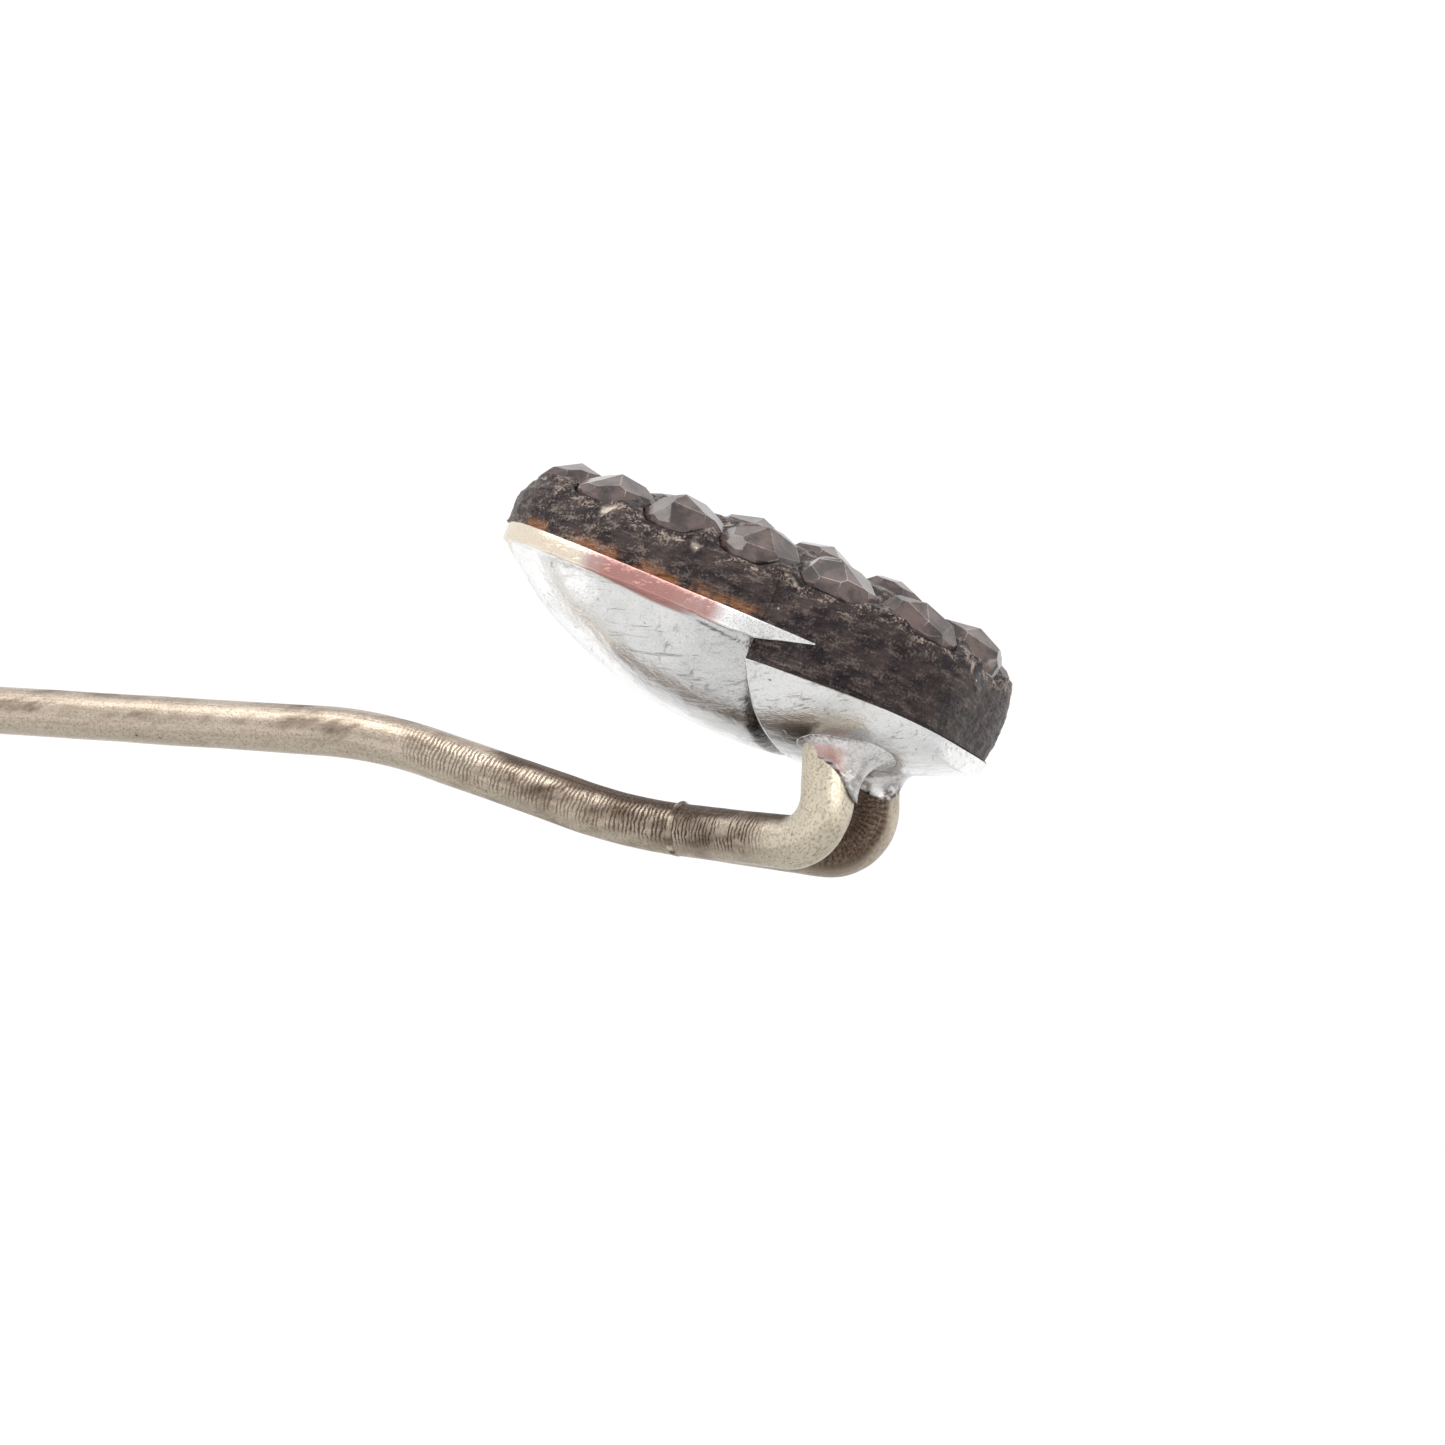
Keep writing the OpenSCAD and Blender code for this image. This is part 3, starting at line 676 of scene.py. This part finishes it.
def build_frame():
    """The side band and the deck: rounded shoulders, seats, and metal pushed up between the stones."""
    columns, wall_rows, deck_rows = 800, 42, 72
    rim, _ = outline(HALF_L, HALF_W, columns)
    # On each side of the head, two columns stand just before and just after the step
    for sign in (-1, 1):
        side = np.where(np.sign(rim[:, 1]) == sign)[0]
        near = side[np.argsort(np.abs(rim[side, 0] - STEP_X))[:2]]
        near = near[np.argsort(rim[near, 0])]
        for index, x in zip(near, (STEP_X - 0.005, STEP_X + 0.005)):
            rim[index] = (x, sign * half_width(x))
    x, y = rim[:, 0], rim[:, 1]
    foot = np.where(x > STEP_X, plate_rim_z(x), 0.0)
    gap = nearest_gap(x * (1 - EDGE_W / HALF_L), y * (1 - EDGE_W / HALF_W))
    claw = smooth(gap, 0.12, 0.42)
    # Signed distance round the rim to the nearest gap between two stones, in mm
    _, rim_length = outline(HALF_L, HALF_W, 8)
    from_gap = ((np.arange(columns) / columns * RING_COUNT) % 1 - 0.5) * rim_length / RING_COUNT
    wave = rough(np.stack([x, y, 0 * x], 1), 0.8, 5)
    top = BAND_H + 0.02 + 0.2 * claw + 0.06 * wave
    points, mask = [], []

    def row(inset, z, cut=0.0, rust=0.0, wear=0.0):
        """Adds a ring of points at height z, drawn in by inset, with its mask."""
        scale_x, scale_y = 1 - inset / HALF_L, 1 - inset / HALF_W
        points.append(np.stack([x * scale_x, y * scale_y, z + 0 * x], 1))
        mask.append(np.stack([cut + 0 * x, rust + 0 * x, wear + 0 * x], 1))

    row(BAND_T, foot + 0.01)
    row(0.03, foot)
    for r in range(wall_rows):
        share = r / (wall_rows - 1)
        z = foot + 0.02 + (top - foot - 0.02) * share
        lean = 0.03 * (1 - smooth(share, 0.0, 0.3)) + 0.15 * smooth(share, 0.4, 1.0) ** 1.6 - 0.01
        band = np.stack([x, y, z], 1)
        dent = 0.05 * rough(band * [0.7, 0.7, 1.4], 1.1, 9) + 0.03 * rough(band * [0.6, 0.6, 1.2], 4.0, 11)
        # Bright chips that taper down from some claws, each of its own size and slant
        below = top - z
        shaky = 0.09 * rough(band, 2.6, 15)
        wedge = np.abs(from_gap + 0.16 * wave + shaky)
        wedge -= (0.34 + 0.5 * wave) * np.clip(0.5 - below + shaky, 0, 1)
        chip = (1 - smooth(wedge, -0.03, 0.03)) * smooth(below, 0.04, 0.16)
        chip *= (1 - smooth(below + 2 * shaky, 0.3, 0.5)) * smooth(rough(band, 1.7, 17), -0.2, 0.15)
        inset = np.clip(lean + 0.03 - dent + 0.06 * chip, 0.0, 0.4)
        rust = 0.9 * (1 - smooth(z, 0.05, 0.35)) * (x < STEP_X) * (y < 0)
        worn = 0.2 + 0.8 * (1 - smooth(below, 0.05, 0.4)) + 0.35 * (1 - smooth(x, -3.5, 0.5))
        row(inset, z, 0.95 * chip, rust, np.clip(worn, 0, 1))
    inner = 1 - SHOULDER / HALF_W
    for r in range(1, deck_rows):
        inwards = 1 - r / deck_rows
        px, py = x * inner * inwards, y * inner * inwards
        gap = nearest_gap(px, py)
        between = smooth(gap, -0.01, 0.05)
        grains = smooth(gap, 0.06, 0.22)
        lump = 0.03 * rough(np.stack([px, py, 0 * px], 1), 3.0, 13)
        ridge = 0.07 * between + 0.12 * grains + lump * between
        seat = -(GIRDLE_H + FOIL_T) * (1 - smooth(gap, -0.06, -0.01))
        z = deck_z(px, py) + np.where(gap < 0, seat, ridge)
        blend = smooth(r, 0, BLEND_ROWS)
        z = top * (1 - blend) + z * blend
        points.append(np.stack([px, py, z], 1))
        mask.append(np.stack([0 * px, 0 * px, 0.3 + 0.6 * between], 1))
    # The middle of the deck, and a hidden point that closes the frame from below
    hidden_z = 0.3
    for z in (float(deck_z(0.0, 0.0)), hidden_z):
        points.append(np.array([[0.0, 0.0, z]]))
        mask.append(np.zeros((1, 3)))
    rows = 2 + wall_rows + deck_rows - 1
    faces = grid_faces(rows, columns, True)
    crown, hidden, last = rows * columns, rows * columns + 1, (rows - 1) * columns
    faces += [(last + c, last + (c + 1) % columns, crown) for c in range(columns)]
    faces += [((c + 1) % columns, c, hidden) for c in range(columns)]
    points, mask = np.concatenate(points), np.concatenate(mask)
    make_piece("head_frame", points, faces, "frame", oxidised, mask=mask, place=on_head)


def sheet_plan(x, rows, inset):
    """A grid of places over the head's outline, at the given x, with how near the edge each one is."""
    wide = np.maximum(half_width(x, HALF_L - inset, HALF_W - inset), NARROWEST)
    across = np.sin(np.linspace(-math.pi / 2, math.pi / 2, rows))
    xs, ys = np.tile(x, (rows, 1)), across[:, None] * wide[None, :]
    edge = np.minimum(1, (np.abs(ys) / HALF_W) ** FULLNESS + (np.abs(xs) / HALF_L) ** FULLNESS)
    return xs, ys, edge


def sheet_noise(xs, ys, scale, seed):
    """Slow noise over a sheet's grid of places."""
    flat = np.stack([xs.ravel(), ys.ravel(), 0 * xs.ravel()], 1)
    return rough(flat, scale, seed, 2).reshape(xs.shape)


def tuck(x):
    """The share of its x that a point of the front shell keeps."""
    return 1 - END_TUCK * smooth(-x, TUCK_X, HALF_L)


def front_skin():
    """The front shell's skin: a dome with a soft roll at its rim, with its faces and its mask."""
    columns, rows = 170, 130
    end = HALF_L - SHELL_INSET
    u = np.linspace(0, 1, columns)
    x = np.where(u == 1, STEP_X, -end + (STEP_X + end) * (1 - np.cos(u * math.pi / 2)))
    xs, ys, edge = sheet_plan(x, rows, SHELL_INSET)
    depth = dome_z(DOME_L, DOME_W, SHELL_BULGE, xs, ys)
    # Near its rim it stays down at the strip's lower edge
    least = 0.95 * STRIP_H
    depth = (depth + least + np.sqrt((depth - least) ** 2 + 0.02)) / 2
    # The edge rolls up to the rim over the last part of the way out
    roll = smooth(edge, 0.985, 1.0)
    soft = sheet_noise(xs, ys, 0.35, 21)
    # The shell is drawn in a little where it meets the step
    drawn_in = 0.24 * smooth(xs, STEP_X - 0.6, STEP_X) * (1 - roll)
    zs = -np.maximum(0, depth + 0.03 * soft - drawn_in) * (1 - roll)
    skin = np.stack([xs * tuck(xs), ys, zs], 2).reshape(-1, 3)
    inner = skin.copy()
    inner[:, 0] *= 1 - SHEET_T / HALF_L
    inner[:, 0] = np.where(skin[:, 0] >= STEP_X - 1e-6, STEP_X, inner[:, 0])
    inner[:, 1] *= 1 - SHEET_T / HALF_W
    inner[:, 2] = np.minimum(inner[:, 2] + SHEET_T, 0.0)
    flat_edge = edge.ravel()
    near_side = skin[:, 1] < 0
    cream = smooth(flat_edge, 0.86, 0.9) * near_side * (1 - smooth(skin[:, 0], -2.6, -2.2))
    rose = smooth(flat_edge, 0.88, 0.92) * near_side
    rose *= smooth(skin[:, 0], -2.5, -2.2) * (1 - smooth(skin[:, 0], 0.2, 0.9))
    # Painted shade: a dark band along the step's corner, standing for the step wall's shadow and dark
    # reflection
    corner = 0.1 + 0.55 * (np.abs(skin[:, 2]) / SHELL_BULGE) ** 1.5
    painted_step_shade = smooth(skin[:, 0], STEP_X - corner - 0.06, STEP_X - corner + 0.03)
    # One long scratch by the tongue, and a painted reflection of the dark fork near the step
    along_cut = skin[:, 0] - 0.9
    cut_line = np.abs(skin[:, 2] + 0.52 + 0.06 * along_cut) + 0.02 * np.abs(along_cut)
    cut = (1 - smooth(cut_line, 0.015, 0.045)) * smooth(along_cut, -0.3, 0)
    cut *= 1 - smooth(along_cut, 1.0, 1.2)
    # Painted reflection: the dark fork greying the shell towards the step
    painted_fork_reflection = 0.3 * smooth(skin[:, 0], -0.5, 1.6)
    mask = np.stack([np.clip(painted_step_shade + 0.9 * cut * near_side + painted_fork_reflection, 0, 1), cream, rose], 1)
    return np.concatenate([skin, inner]), sheet_faces(rows, columns), np.concatenate([mask, 0 * mask])


def rim_strip(base):
    """The rim strip, from one tongue's tip round the front to the other's; base is its first index."""
    rim, _ = outline(1.0, 1.0, 900)
    rim = rim * [HALF_L, HALF_W]
    keep = rim[:, 0] < STEP_X + TONGUE_L
    first = np.argmax(~keep[np.r_[-1, 0:len(keep) - 1]] & keep)
    order = np.roll(np.arange(len(rim)), -first)
    path = rim[order][keep[order]]
    path[:, 0] *= tuck(path[:, 0])
    past = np.clip((path[:, 0] - STEP_X) / TONGUE_L, 0, 1)
    tall = STRIP_H * (1 - past) + 0.02
    # Its section, as how far each corner stands out in mm and how far up it is as a share of the height
    section = [
        (-0.03, -1.0), (0.0, -0.96), (0.01, -0.8), (0.014, -0.4),
        (0.012, -0.06), (0.0, 0.02), (-0.06, 0.02), (-0.06, -1.0),
    ]
    strip, tint = [], []
    for out, up in section:
        grow = 1 + np.array([out / HALF_L, out / HALF_W]) * (1 - 0.6 * past[:, None])
        uneven = 0.014 * rough(np.stack([path[:, 0], path[:, 1], 0 * past + up], 1), 1.2, 31)
        xy = path * grow
        strip.append(np.stack([xy[:, 0], xy[:, 1], up * tall * (1 + uneven * 6) + 0.01], 1))
        near = path[:, 1] < 0
        in_rose = smooth(path[:, 0], -2.6, -2.1) * (1 - smooth(path[:, 0], 0.9, 1.5))
        warm = (1 - smooth(path[:, 0], -2.6, -2.1)) * smooth(path[:, 0], -5.9, -5.2)
        tint.append(np.stack([0.35 * smooth(path[:, 0], 1.2, 2.2), warm * 0.9 * near, in_rose * near], 1))
    lines = len(section)
    strip = np.array(strip).transpose(1, 0, 2).reshape(-1, 3)
    tint = np.array(tint).transpose(1, 0, 2).reshape(-1, 3)
    faces = grid_faces(len(path), lines, True, base)
    faces.append(tuple(range(base, base + lines))[::-1])
    faces.append(tuple(range(base + (len(path) - 1) * lines, base + len(path) * lines)))
    return strip, faces, tint


def build_front_shell():
    """The deep front shell, polished, with its tinted rim strip."""
    points, faces, mask = front_skin()
    strip, strip_faces, tint = rim_strip(len(points))
    points, mask = np.concatenate([points, strip]), np.concatenate([mask, tint])
    faces += strip_faces
    make_piece(
        "front_shell_sheet", points, faces, "front_shell", bright, mask=mask, place=on_head
    )


def build_back_plate():
    """The back plate: a shallower dome with a crisp cut edge at the step."""
    columns, rows = 150, 120
    x = STEP_X + (HALF_L - PLATE_INSET - STEP_X) * np.sin(np.linspace(0, 1, columns) * math.pi / 2)
    xs, ys, edge = sheet_plan(x, rows, PLATE_INSET)
    depth = dome_z(DOME_L, DOME_W, PLATE_BULGE, xs, ys)
    roll = smooth(edge, 0.955, 1.0)
    soft = sheet_noise(xs, ys, 0.4, 41)
    zs = plate_rim_z(xs) - np.maximum(0, depth + 0.025 * soft) * (1 - roll)
    skin = np.stack([xs, ys, zs], 2).reshape(-1, 3)
    inner = skin.copy()
    inner[:, 0] = STEP_X + (inner[:, 0] - STEP_X) * (1 - SHEET_T / (HALF_L - STEP_X))
    inner[:, 1] *= 1 - SHEET_T / HALF_W
    inner[:, 2] = np.minimum(inner[:, 2] + SHEET_T, plate_rim_z(skin[:, 0]))
    points, faces = np.concatenate([skin, inner]), sheet_faces(rows, columns)
    # Dulled round the solder
    around = np.hypot(skin[:, 0] - LEG_SETBACK, np.abs(skin[:, 1]) - LEG_SETBACK * math.tan(FORK_ANGLE))
    grey = 0.55 * (1 - smooth(around, 0.9, 1.9))
    mask = np.stack([grey, 0 * grey, 0 * grey], 1)
    mask = np.concatenate([mask, 0 * mask])
    make_piece(
        "back_plate_sheet", points, faces, "back_plate", bright, mask=mask, place=on_head
    )


# ---------------------------------------------------------------- the stones
def cut_stone(rng, radius):
    """A disc of stone ground flat on each facet in turn, as points and faces in mm."""
    bm = bmesh.new()
    sides, crown = 22, CROWN_SHARE * radius * rng.uniform(0.86, 1.0)
    rings = []
    turns = [math.tau * i / sides for i in range(sides)]
    for z in (0.0, GIRDLE_H + crown):
        rings.append([bm.verts.new((radius * math.cos(t), radius * math.sin(t), z)) for t in turns])
    bm.faces.new(rings[0][::-1])
    bm.faces.new(rings[1])
    for i in range(sides):
        j = (i + 1) % sides
        bm.faces.new((rings[0][i], rings[0][j], rings[1][j], rings[1][i]))
    # Each facet's plane: its turn, its tilt from level, and a point on it
    planes = []
    twist, lower, upper = rng.uniform(0, math.tau), rng.choice((7, 8, 9)), rng.choice((5, 6))
    for i in range(lower):
        t = twist + math.tau * (i + rng.uniform(-0.2, 0.2)) / lower
        tilt = math.radians(rng.uniform(44, 60))
        r = radius * rng.uniform(0.95, 1.0)
        planes.append((t, tilt, (r * math.cos(t), r * math.sin(t), GIRDLE_H * rng.uniform(0.75, 1.15))))
    apex = (radius * rng.uniform(-0.2, 0.2), radius * rng.uniform(-0.2, 0.2), GIRDLE_H + crown)
    for i in range(upper):
        t = twist + math.tau * (i + 0.5 + rng.uniform(-0.25, 0.25)) / upper
        planes.append((t, math.radians(rng.uniform(14, 27)), apex))
    for t, tilt, point in planes:
        normal = (math.cos(t) * math.sin(tilt), math.sin(t) * math.sin(tilt), math.cos(tilt))
        cut = bmesh.ops.bisect_plane(
            bm, geom=bm.verts[:] + bm.edges[:] + bm.faces[:], dist=1e-5,
            plane_co=point, plane_no=normal, clear_outer=True
        )["geom_cut"]
        edges = [e for e in cut if isinstance(e, bmesh.types.BMEdge)]
        if len(edges) > 2:
            bmesh.ops.edgenet_fill(bm, edges=edges)
    # A narrow worn border round each facet: the shader turns it pale
    facets = [f for f in bm.faces if f.normal.z > 0.2 and f.calc_area() > 0.03]
    bmesh.ops.inset_individual(bm, faces=facets, thickness=FACET_BORDER, use_even_offset=True)
    inside = {v for f in facets for v in f.verts}
    bm.verts.index_update()
    points = [tuple(v.co) for v in bm.verts]
    mask = [(0, 0, 1 if v.co.z > 1.3 * GIRDLE_H and v not in inside else 0) for v in bm.verts]
    faces = [tuple(v.index for v in f.verts) for f in bm.faces]
    bm.free()
    return points, faces, mask


def build_stone(index, node, x, y, radius):
    """An old hand-made rose cut: flat facets that don't quite match, over an uneven girdle."""
    points, faces, mask = cut_stone(random.Random(100 + index), radius)
    bow = dome_bow(DOME_L, DECK_RISE)
    round_r = dome_c(DOME_W, DECK_RISE) + DECK_RISE - bow + math.sqrt(bow * bow - x * x)
    slope, lean = math.atan(x / math.sqrt(bow * bow - x * x)), math.asin(y / round_r)
    z = float(deck_z(x, y))
    tip = Matrix.Rotation(-lean, 4, "X") @ turn_y(slope)
    place = on_head @ Matrix.Translation((x, y, z)) @ tip @ Matrix.Translation((0, 0, -GIRDLE_H))
    at = np.asarray(points) + [x * 3, y * 3, 0]
    name = "rose_cut_" + node.replace("_stone", "")
    piece = make_piece(name, points, faces, node, stone_look, at, mask, place, flat=True)
    bevel = piece.modifiers.new("worn_edges", "BEVEL")
    bevel.width = WORN_EDGE * MM
    bevel.segments = 1
    bevel.limit_method = "ANGLE"
    bevel.angle_limit = math.radians(5)


build_shank()
build_leg(-1, "near_leg_wire", "near_leg")
build_leg(1, "far_leg_wire", "far_leg")
build_seam()
build_foot(-1, "near_leg_solder", "near_solder")
build_foot(1, "far_leg_solder", "far_solder")
build_frame()
build_front_shell()
build_back_plate()
for number, (node, x, y, radius) in enumerate(stones):
    build_stone(number, node, float(x), float(y), float(radius))

for node, material in (("step_wall", oxidised_plain), ("foils", foil)):
    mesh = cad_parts[node].data
    mesh.materials.clear()
    mesh.materials.append(material)


# ---------------------------------------------------------------- floor, light and camera
AZIMUTH, ELEVATION, TILT = math.radians(25.3), math.radians(-5.4), math.radians(-5.9)
DISTANCE, LENS, SENSOR_W = 75, 82.6, 36
# How far the middle of the view lies from the fork's seam
VIEW_RIGHT, VIEW_UP = 0.894, 2.432
FLOOR_Z, FLOOR_SIZE, FLOOR_COLOUR = -20, 3000, (0.96, 0.96, 0.96)
# A card behind the camera, and one just over the floor behind the fork
CARD_BACK, CARD_UP, CARD_SIZE, CARD_COLOUR = 88, 6, 64, (0.74, 0.74, 0.73)
LOW_CARD_Y, LOW_CARD_RISE, LOW_CARD_SIZE, LOW_CARD_COLOUR = 10, 1, 90, (0.6, 0.6, 0.6)
# Each lamp's place and size in mm, and its power in watts
KEY_LAMP = (-40, -70, 110), 90, 0.075
SIDE_LAMP = (100, -60, 30), 60, 0.03
LAMP_COLOUR = (1.0, 0.985, 0.96)
TENT_LIGHT = 1.05

right = Vector((math.cos(AZIMUTH), math.sin(AZIMUTH), 0))
back = Vector((
    math.sin(AZIMUTH) * math.cos(ELEVATION), -math.cos(AZIMUTH) * math.cos(ELEVATION), math.sin(ELEVATION)
))
upward = back.cross(right)
camera_right = right * math.cos(TILT) - upward * math.sin(TILT)
camera_up = right * math.sin(TILT) + upward * math.cos(TILT)
camera = bpy.data.objects.new("camera", bpy.data.cameras.new("camera"))
bpy.context.scene.collection.objects.link(camera)
camera.data.lens = LENS
camera.data.sensor_width = SENSOR_W
camera.data.clip_start = MM
camera.matrix_world = Matrix.Translation(
    (seam + DISTANCE * back + VIEW_RIGHT * camera_right + VIEW_UP * camera_up) * MM
) @ Matrix((camera_right, camera_up, back)).transposed().to_4x4()
bpy.context.scene.camera = camera

world = bpy.data.worlds.new("white_tent")
world.use_nodes = True
tent = world.node_tree.nodes["Background"]
tent.inputs["Color"].default_value = (1, 1, 1, 1)
tent.inputs["Strength"].default_value = TENT_LIGHT
bpy.context.scene.world = world
bpy.context.scene.view_settings.view_transform = "Standard"


def stage_sheet(name, centre, size, facing, colour):
    """A square sheet of the stage, centred at a point in mm and square to facing."""
    mesh = bpy.data.meshes.new(name)
    h = size / 2 * MM
    mesh.from_pydata([(-h, -h, 0), (h, -h, 0), (h, h, 0), (-h, h, 0)], [], [(0, 1, 2, 3)])
    sheet = bpy.data.objects.new(name, mesh)
    bpy.context.scene.collection.objects.link(sheet)
    turn = Vector(facing).to_track_quat("Z", "Y").to_matrix().to_4x4()
    sheet.matrix_world = Matrix.Translation(Vector(centre) * MM) @ turn
    s = Shader(name, attribute=False)
    mottle = s.noise(0.05, detail=2)
    shade = tuple(c * 0.985 for c in colour)
    s.finish(Base_Color=s.mix(mottle, colour, shade), Roughness=0.8)
    mesh.materials.append(s.material)
    return sheet


stage_sheet("floor", (0, 0, FLOOR_Z), FLOOR_SIZE, (0, 0, 1), FLOOR_COLOUR)
# The grey cards show only in what is reflected or seen through a stone, so polished metal has darker parts
card_place = seam + CARD_BACK * back + CARD_UP * upward
low_card_place = seam + Vector((0, LOW_CARD_Y, LOW_CARD_RISE - seam.z + FLOOR_Z))
cards = [
    stage_sheet("camera_card", card_place, CARD_SIZE, -back, CARD_COLOUR),
    stage_sheet("low_card", low_card_place, LOW_CARD_SIZE, (0, 0, 1), LOW_CARD_COLOUR),
]
for card in cards:
    card.visible_camera = False
    card.visible_diffuse = False
    card.visible_shadow = False


def soft_light(name, place, size, watts):
    """A square lamp of the given size in mm that faces the fork's seam."""
    lamp = bpy.data.lights.new(name, "AREA")
    lamp.size = size * MM
    lamp.energy = watts
    lamp.color = LAMP_COLOUR
    holder = bpy.data.objects.new(name, lamp)
    bpy.context.scene.collection.objects.link(holder)
    way = Vector(place) - seam
    turn = way.to_track_quat("Z", "Y").to_matrix().to_4x4()
    holder.matrix_world = Matrix.Translation(Vector(place) * MM) @ turn
    holder.visible_camera = False


soft_light("key", *KEY_LAMP)
soft_light("side", *SIDE_LAMP)
